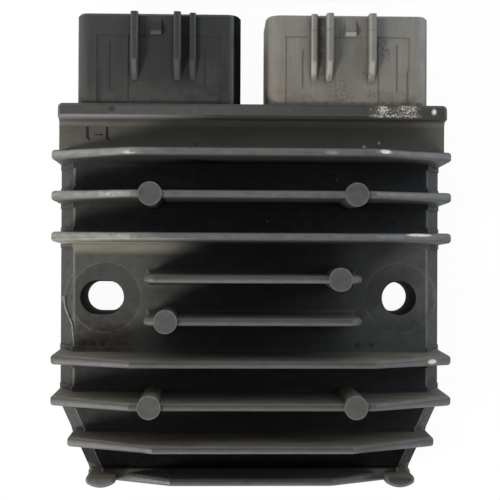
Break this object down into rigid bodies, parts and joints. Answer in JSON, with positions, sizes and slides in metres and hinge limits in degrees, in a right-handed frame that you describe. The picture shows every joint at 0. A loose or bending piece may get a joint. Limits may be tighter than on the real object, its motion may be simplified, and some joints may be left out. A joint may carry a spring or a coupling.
{
  "type": "voltage regulator",
  "caption": "Finned die-cast voltage regulator that bolts down flat, with moulded plug sockets along one edge and potted electronics in its back.",
  "frame": {"origin": "midway between the fixing holes, on the mounting face", "axes": "+Z out of the mounting face towards the fin tips, +Y towards the plug sockets, +X towards the round fixing hole"},
  "size_m": [0.105, 0.1234, 0.0331],
  "materials": {
    "black_casting": "satin black, worn at the edges",
    "black_plastic": "moulded, slight gloss",
    "grey_plastic": "moulded, dusty",
    "terminal": "tinned",
    "copper_bar": "bare",
    "board": "laminate",
    "device": "moulded",
    "potting": "cast resin"
  },
  "bodies": {
    "root": {"heat_sink_casting": "black_casting", "black_connector_shell": "black_plastic", "grey_connector_shell": "grey_plastic", "ac_blade_1": "terminal", "ac_blade_2": "terminal", "ac_blade_3": "terminal", "sensing_blade": "terminal", "negative_blade": "terminal", "positive_blade": "terminal", "power_board": "board", "thyristor_1": "device", "thyristor_2": "device", "thyristor_3": "device", "diode_1": "device", "diode_2": "device", "diode_3": "device", "ac_bus_bar_1": "copper_bar", "ac_bus_bar_2": "copper_bar", "ac_bus_bar_3": "copper_bar", "negative_bus_bar": "copper_bar", "positive_bus_bar": "copper_bar", "control_board": "board", "control_chip": "device", "smoothing_capacitor": "device", "resistors": "device", "gate_leads": "copper_bar", "sense_lead": "copper_bar", "potting_compound": "potting"}
  },
  "joints": []
}
